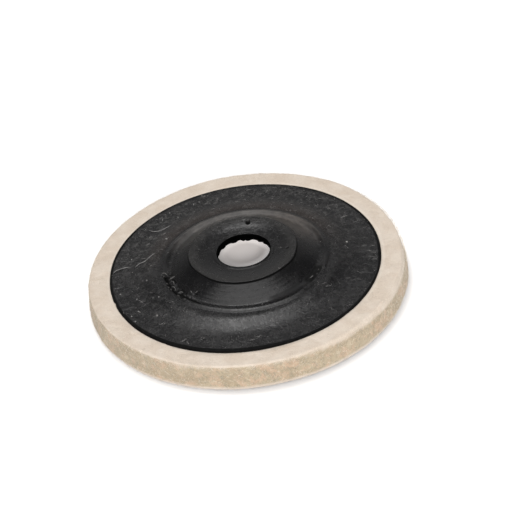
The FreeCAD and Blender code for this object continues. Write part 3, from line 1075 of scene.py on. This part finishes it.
def scatter(rng, inner, outer):
    """A random spot between two radii: its angle, x and y."""
    radius = math.sqrt(rng.uniform(inner**2, outer**2))
    angle = rng.uniform(0, 2 * math.pi)
    return angle, radius * math.cos(angle), radius * math.sin(angle)


def build_burr():
    """Torn slivers and curls of the moulding's skin, most of them along the foot's lip."""
    rng = np.random.RandomState(47)
    # slivers lying roughly along the ring: angle, radius and half length
    slivers = [
        (187.4, 25.9, 0.5), (196.5, 25.75, 0.5), (203.8, 25.7, 0.4), (213.0, 25.75, 0.45),
        (219.5, 25.5, 0.3), (327.0, 25.2, 0.3), (331.5, 24.7, 0.3), (335.0, 25.6, 0.25),
    ]
    # curls: (x, y) points, thickness and how far the middle stands up
    curls = [
        ([(-23.63, -5.17), (-23.07, -4.56), (-22.26, -4.2), (-21.67, -3.89)], 0.085, 0.25),
        ([(-23.13, -5.79), (-22.41, -6.35), (-22.31, -7.57)], 0.08, 0.22),
        ([(-22.81, -8.56), (-22.19, -9.65), (-21.92, -11.2)], 0.08, 0.2),
        ([(-25.69, -1.63), (-24.89, -1.87), (-24.06, -2.69)], 0.10, 0.15),
        ([(-20.97, -12.16), (-20.28, -11.96), (-19.69, -12.25)], 0.13, 0.08),
        ([(-17.31, -12.94), (-17.02, -13.89)], 0.13, 0.08),
        ([(-16.0, -14.44), (-15.24, -14.19)], 0.07, 0.1),
        ([(-24.23, -8.88), (-23.88, -9.49)], 0.09, 0.1),
        ([(18.9, -14.95), (19.5, -14.45), (20.0, -13.95)], 0.07, 0.10),
        ([(19.4, -15.0), (19.9, -14.55), (20.1, -14.1)], 0.06, 0.1),
    ]
    strands = []
    for degrees, radius, half in slivers:
        angle = math.radians(degrees)
        x, y = radius * math.cos(angle) + BORE_SHIFT, radius * math.sin(angle)
        heading = angle + math.pi / 2 + rng.uniform(-0.6, 0.6)
        points = wriggle(rng, x, y, heading, half, sway=0.45, count=9)
        path = arched(points, 0.0, rng.uniform(0.05, 0.2))
        strands.append((path, rng.uniform(0.05, 0.08)))
    for points, thickness, rise in curls:
        strands.append((arched(curl(points, 11), 0.02, rise), thickness))
    return fibre_mesh("lip_burrs", strands, sides=4)


def build_shavings():
    """Rubbed-off nylon on the taper: long squiggles, blunt flecks and strokes near the rim."""
    rng = np.random.RandomState(53)
    # squiggles: (x, y) points, thickness and rise
    squiggles = [
        ([(-34.02, 5.65), (-32.75, 6.88), (-31.01, 7.26), (-29.84, 8.29), (-28.71, 9.41),
          (-27.58, 10.28)], 0.11, 0.06),
        ([(-41.08, 4.17), (-40.07, 5.3), (-38.49, 5.8), (-37.0, 6.08), (-35.68, 5.66)],
         0.105, 0.06),
        ([(-29.03, 24.29), (-27.16, 23.11), (-25.13, 23.18), (-23.48, 24.05), (-21.91, 25.04)],
         0.10, 0.05),
    ]
    # flecks: x, y
    flecks = [
        (-33.79, -17.08), (-28.36, -20.31), (-34.88, -21.74), (-35.98, -18.98), (-29.08, -12.07),
        (-30.66, -3.0), (-39.11, -7.23), (-34.07, -10.83), (-27.28, -12.52), (-23.43, 16.76),
        (-35.14, 9.94), (-21.95, 32.32), (-19.3, 28.95), (-13.85, 35.09), (-11.99, 35.95),
        (-24.4, 28.97),
    ]
    # strokes: x, y, heading in degrees
    strokes = [
        (39.8, -2.2, -6), (38.4, -4.1, -24), (39.9, -5.3, -11), (38.9, -7.4, -30),
        (39.6, -8.9, -16), (37.6, -1.2, -3), (30.4, -16.2, -6), (33.6, -17.6, -28),
        (34.2, -14.2, -55), (31.8, -17.4, -170),
    ]
    curves = [(curl(points, 15), thickness, rise) for points, thickness, rise in squiggles]
    for k, (x, y) in enumerate(flecks):
        heading, half = rng.uniform(0, math.pi), rng.uniform(0.15, 0.4)
        far_x, far_y = half * math.cos(heading), half * math.sin(heading)
        points = [(x - far_x, y - far_y), (x, y + 0.05), (x + far_x, y + far_y)]
        curves.append((curl(points, 15), 0.15 if k % 3 else 0.2, 0.02))
    for x, y, degrees in strokes:
        half, bend = rng.uniform(0.7, 1.3), rng.uniform(-0.3, 0.3)
        curves.append((stroke(x, y, math.radians(degrees), half, [(0, bend)], 15), 0.036, 0.01))
    strands = [(arched(points, 0.02, rise), thickness) for points, thickness, rise in curves]
    return fibre_mesh("nylon_shavings", strands, sides=6)


def build_lint():
    """Wool fibres lying on the plate."""
    rng = np.random.RandomState(41)
    # the thicker ones: x, y, heading in degrees
    thick = [
        (-27.1, -24.35, 20), (-21.0, -33.8, 25), (-28.2, -20.4, 80), (-0.8, -38.6, 10),
        (33.4, 15.8, 15), (32.4, 1.6, 70), (-23.4, 17.0, 200), (-10.7, 38.8, 120),
        (-24.4, 20.6, 40), (-33.1, -12.1, 130),
    ]
    strands = []
    for x, y, degrees in thick:
        half, bend = rng.uniform(0.7, 1.3), rng.uniform(-0.4, 0.4)
        points = stroke(x, y, math.radians(degrees), half, [(0, bend)], 8)
        strands.append((laid(points, 0.04), 0.034))
    for _ in range(120):
        _, x, y = scatter(rng, 27.2, 41.6)
        heading, half = rng.uniform(0, math.pi), rng.uniform(0.35, 1.1)
        points = wriggle(rng, x, y, heading, half, sway=0.5, count=8)
        strands.append((laid(points), rng.uniform(0.010, 0.018)))
    for _ in range(22):
        angle, x, y = scatter(rng, 10.5, 24.5)
        # none on the torn skin
        if 3.0 < angle < 4.3:
            continue
        heading, half = rng.uniform(0, math.pi), rng.uniform(0.3, 0.7)
        points = stroke(x, y, heading, half, [(0, 0.2)], 7)
        strands.append((laid(points), rng.uniform(0.012, 0.02)))
    return fibre_mesh("plate_lint", strands, sides=4)


def grain_shape():
    """Vertices and triangles of a unit icosahedron with every face split once."""
    phi = (1 + 5**0.5) / 2
    points = np.array([
        (-1, phi, 0), (1, phi, 0), (-1, -phi, 0), (1, -phi, 0), (0, -1, phi), (0, 1, phi),
        (0, -1, -phi), (0, 1, -phi), (phi, 0, -1), (phi, 0, 1), (-phi, 0, -1), (-phi, 0, 1),
    ])
    points = list(points / np.linalg.norm(points[0]))
    faces = [
        (0, 11, 5), (0, 5, 1), (0, 1, 7), (0, 7, 10), (0, 10, 11), (1, 5, 9), (5, 11, 4),
        (11, 10, 2), (10, 7, 6), (7, 1, 8), (3, 9, 4), (3, 4, 2), (3, 2, 6), (3, 6, 8),
        (3, 8, 9), (4, 9, 5), (2, 4, 11), (6, 2, 10), (8, 6, 7), (9, 8, 1),
    ]
    known = {}

    def middle(one, two):
        key = (min(one, two), max(one, two))
        if key not in known:
            point = (points[one] + points[two]) / 2
            points.append(point / np.linalg.norm(point))
            known[key] = len(points) - 1
        return known[key]

    split = []
    for i, j, k in faces:
        side_ij, side_jk, side_ki = middle(i, j), middle(j, k), middle(k, i)
        split += [(i, side_ij, side_ki), (j, side_jk, side_ij), (k, side_ki, side_jk)]
        split.append((side_ij, side_jk, side_ki))
    return np.array(points), np.array(split)


def build_crumbs():
    """Felt crumbs caught on the plate: small lumpy grains, each one closed."""
    rng = np.random.RandomState(51)
    shape, faces = grain_shape()
    # x, y, size
    spots = [
        (12.1, -23.85, 0.17), (32.4, 1.6, 0.2), (33.4, 15.8, 0.17), (-23.6, 17.0, 0.16),
        (-28.2, -20.4, 0.19), (-26.1, -24.8, 0.14), (-33.4, -17.5, 0.13),
    ]
    for _ in range(80):
        if rng.uniform() < 0.75:
            radius = math.sqrt(rng.uniform(18**2, 42.0**2))
        else:
            radius = rng.uniform(41.2, 42.0)
        angle = rng.uniform(0, 2 * math.pi)
        size = rng.uniform(0.04, 0.08)
        spots.append((radius * math.cos(angle), radius * math.sin(angle), size))
    points, tris = [], []
    for k, (x, y, size) in enumerate(spots):
        lumps = 1 + 0.35 * rng.normal(size=len(shape)).clip(-1.2, 1.2)
        stretch = np.array([rng.uniform(0.8, 1.6), rng.uniform(0.8, 1.6), 0.6])
        grain = shape * lumps[:, None] * size * stretch
        angle = rng.uniform(0, 2 * math.pi)
        cos, sin = math.cos(angle), math.sin(angle)
        grain = grain @ np.array([(cos, sin, 0), (-sin, cos, 0), (0, 0, 1)])
        points.append(grain + np.array([x, y, plate_top(math.hypot(x, y)) + size * 0.4]))
        tris.append(faces + k * len(shape))
    return mesh_object("felt_crumbs", np.concatenate(points), tris=np.concatenate(tris))


# piece, material name, its two colours, slot
MARKS = [
    (build_burr, "torn_nylon", (0.065, 0.064, 0.062), (0.135, 0.132, 0.128), "black_nylon"),
    (build_shavings, "rubbed_nylon", (0.115, 0.1135, 0.112), (0.19, 0.1875, 0.185), "black_nylon"),
    (build_lint, "lint_fibre", (0.26, 0.255, 0.25), (0.42, 0.41, 0.40), "wool_felt"),
    (build_crumbs, "felt_crumb", (0.16, 0.155, 0.15), (0.30, 0.29, 0.275), "wool_felt"),
]
for build, name, dark, light, slot in MARKS:
    place(build(), fibre_material(name, dark, light))


# ------------------------------------------------------------------ adhesive
def build_glue():
    """A thin film under the plate, with a bead squeezed out at the felt's inner edge."""
    radii = np.linspace(26.2, 41.9, 14)
    loop = [(r, GLUE_LOW + 0.002) for r in radii]
    loop.append((42.0, (GLUE_LOW + GLUE_TOP) / 2))
    loop += [(r, GLUE_TOP - 0.002) for r in radii[::-1]]
    # the bead: radius, depth below the film's top
    bead_outline = [
        (25.6, 0), (25.05, 0), (24.86, 0.12), (24.9, 0.34), (25.1, 0.52), (25.38, 0.62),
        (25.52, 0.5), (25.62, 0.2),
    ]
    loop += [(r, GLUE_TOP - depth) for r, depth in bead_outline]
    grid, _, angles, radius, z = turned(np.array(loop), 360)
    noise = Noise(61)
    bead = 0.55 + 0.75 * noise.around(angles, 9) + 0.35 * noise.around(angles, 9 * 2.7, shift=5)
    bead = np.clip(bead, 0.08, 1.6)
    inner = radius < 25.55
    new_radius = np.where(inner, 25.55 - (25.55 - radius) * bead, radius)
    sunk = GLUE_TOP - (GLUE_TOP - z) * (0.5 + 0.5 * bead)
    grid[..., 2] = np.where(inner & (z < GLUE_TOP - 0.05), sunk, z)
    squeeze = 0.16 * noise.around(angles, 9 * 1.6, shift=31)
    squeeze += 0.08 * noise.around(angles, 9 * 5, shift=3)
    new_radius = np.where(radius > 41.95, new_radius + np.minimum(squeeze, 0.05), new_radius)
    grid[..., 0] = new_radius * np.cos(angles)
    grid[..., 1] = new_radius * np.sin(angles)
    return ring_object("glue_film", grid)


place(build_glue(), glue_material(), replaces="adhesive_layer")


# ------------------------------------------------------------------ table
def build_table(half=2500.0, cells=24):
    places = np.linspace(-half, half, cells + 1)
    x, y = np.meshgrid(places, places, indexing="ij")
    points = np.stack([x.ravel(), y.ravel(), np.full(x.size, FLOOR_Z)], 1)
    i = np.arange(cells)[:, None] * (cells + 1) + np.arange(cells)[None, :]
    quads = np.stack([i, i + cells + 1, i + cells + 2, i + 1], 2)
    obj = mesh_object("table_top", points, quads)
    obj.data.materials.append(table_material())
    obj.visible_glossy = False
    return obj


build_table()


# ------------------------------------------------------------------ world and light
# what the gloss sees by pitch: degrees up from the far horizon and over to the near, level
WALL_LEVELS = (
    (0.0, 0.17), (15.0, 0.43), (31.0, 0.335), (42.0, 0.185), (55.0, 0.155), (78.0, 0.155),
    (128.0, 0.06), (150.0, 0.16), (166.0, 0.36), (180.0, 0.2),
)


def soft_box(net, direction, angle, side, outer, inner, level):
    """A round glow: angle up from the far horizon, side along X, fading between half-angles."""
    x, y, z = direction
    angle, rest = math.radians(angle), math.sqrt(1 - side * side)
    near = net.plus(
        net.mul(y, math.cos(angle) * rest), net.mul(z, math.sin(angle) * rest), net.mul(x, side)
    )
    outer, inner = math.cos(math.radians(outer)), math.cos(math.radians(inner))
    return net.mul(net.step(near, outer, inner), level)


def gloss_level(net, direction):
    """A dim room with two round soft boxes over the wheel."""
    x, y, z = direction
    pitch = net.mul(net.math("ARCTAN2", z, y), 180 / math.pi)
    across = net.math("ABSOLUTE", net.minus(x, 0.057))
    ramp = net.add("ShaderNodeValToRGB")
    net.put(net.math("DIVIDE", pitch, 180.0, clamp=True), ramp.inputs[0])
    elements = ramp.color_ramp.elements
    while len(elements) < len(WALL_LEVELS):
        elements.new(0.5)
    for element, (angle, level) in zip(elements, WALL_LEVELS):
        element.position = angle / 180.0
        element.color = (level, level, level, 1.0)
    sides = net.most(
        net.step(across, 0.79, 0.29, 0.1, 1.0),
        net.mul(net.step(across, 0.3, 0.6), net.step(y, 0.0, -0.35)),
    )
    # a dimmer stretch either side of the narrower box
    dim = net.mul(net.step(across, 0.09, 0.2), net.band(pitch, (42.0, 48.0), (76.0, 62.0)))
    sides = net.mul(sides, net.minus(1.0, net.mul(dim, 0.45)))
    far_sides = net.plus(
        net.step(across, 0.42, 0.68, 0.0, 0.085), net.step(across, 0.82, 0.95, 0.0, 0.15)
    )
    wall = net.plus(net.mul(ramp.outputs[0], sides), far_sides)
    boxes = net.plus(
        soft_box(net, direction, angle=59.5, side=-0.045, outer=10.5, inner=4.0, level=5.2),
        soft_box(net, direction, angle=91.0, side=-0.046, outer=33.0, inner=23.0, level=1.66),
    )
    return net.plus(wall, boxes)


def build_world():
    world = bpy.data.worlds.new("studio")
    bpy.context.scene.world = world
    world.use_nodes = True
    net = Nodes(world.node_tree)
    out = net.add("ShaderNodeOutputWorld")
    x, y, z = net.split(net.add("ShaderNodeTexCoord").outputs["Generated"])
    ray = net.add("ShaderNodeLightPath")

    def background(inputs):
        node = net.add("ShaderNodeBackground")
        net.fill(node, inputs)
        return node.outputs[0]

    def choose(kind, other, seen):
        node = net.add("ShaderNodeMixShader")
        for value, socket in zip((ray.outputs[kind], other, seen), node.inputs):
            net.put(value, socket)
        return node.outputs[0]

    gloss = background({"Strength": gloss_level(net, (x, y, z)), "Color": (1.0, 0.99, 0.985)})
    # matt surfaces see an even tent, brighter above and a little towards the back left
    level = net.plus(0.46, net.mul(x, -0.04), net.mul(y, 0.11), net.mul(z, 0.75))
    tent = background({"Strength": level, "Color": (1.0, 0.985, 0.97)})
    seen = background({"Color": (0.97, 0.97, 0.97)})
    lit = choose("Is Glossy Ray", tent, gloss)
    net.put(choose("Is Camera Ray", lit, seen), out.inputs["Surface"])
    world.cycles.sampling_method = "NONE"


def build_key():
    """A disc light low over the front, kept out of the reflections."""
    light = bpy.data.lights.new("key", "AREA")
    light.shape = "DISK"
    light.size = 0.26
    light.energy = 18.0
    light.color = (1.0, 0.985, 0.975)
    obj = bpy.data.objects.new("key", light)
    bpy.context.scene.collection.objects.link(obj)
    obj.location = (0.03, -1.07, 0.68)
    obj.rotation_euler = (-Vector((0.03, -1.07, 0.68))).to_track_quat("-Z", "Y").to_euler()
    obj.visible_glossy = False


build_world()
build_key()

# ------------------------------------------------------------------ camera
ELEVATION, ROLL = math.radians(36.64), math.radians(8.67)
DISTANCE = 0.52345  # metres
LENS = 116.5506923
# where the axis meets the felt's top, right of and above the view's middle
AIM_RIGHT, AIM_UP = -4.7292113, -1.2841317


def build_camera():
    back = Vector((0, -math.cos(ELEVATION), math.sin(ELEVATION)))
    level_right = Vector((1, 0, 0))
    level_up = Vector((0, math.sin(ELEVATION), math.cos(ELEVATION)))
    right = math.cos(ROLL) * level_right - math.sin(ROLL) * level_up
    up = math.sin(ROLL) * level_right + math.cos(ROLL) * level_up
    aim = right * (AIM_RIGHT * MM) + up * (AIM_UP * MM)
    position = Vector((0, 0, FELT_TOP * MM)) - (aim - back * DISTANCE)
    data = bpy.data.cameras.new("camera")
    data.sensor_width = 36.0
    data.lens = LENS
    data.clip_start = 0.01
    data.clip_end = 20.0
    camera = bpy.data.objects.new("camera", data)
    bpy.context.scene.collection.objects.link(camera)
    camera.matrix_world = Matrix([*zip(right, up, back, position), (0, 0, 0, 1)])
    bpy.context.scene.camera = camera


build_camera()
view = bpy.context.scene.view_settings
view.view_transform = "Standard"
view.look = "None"
view.exposure = 0.0
view.gamma = 1.0
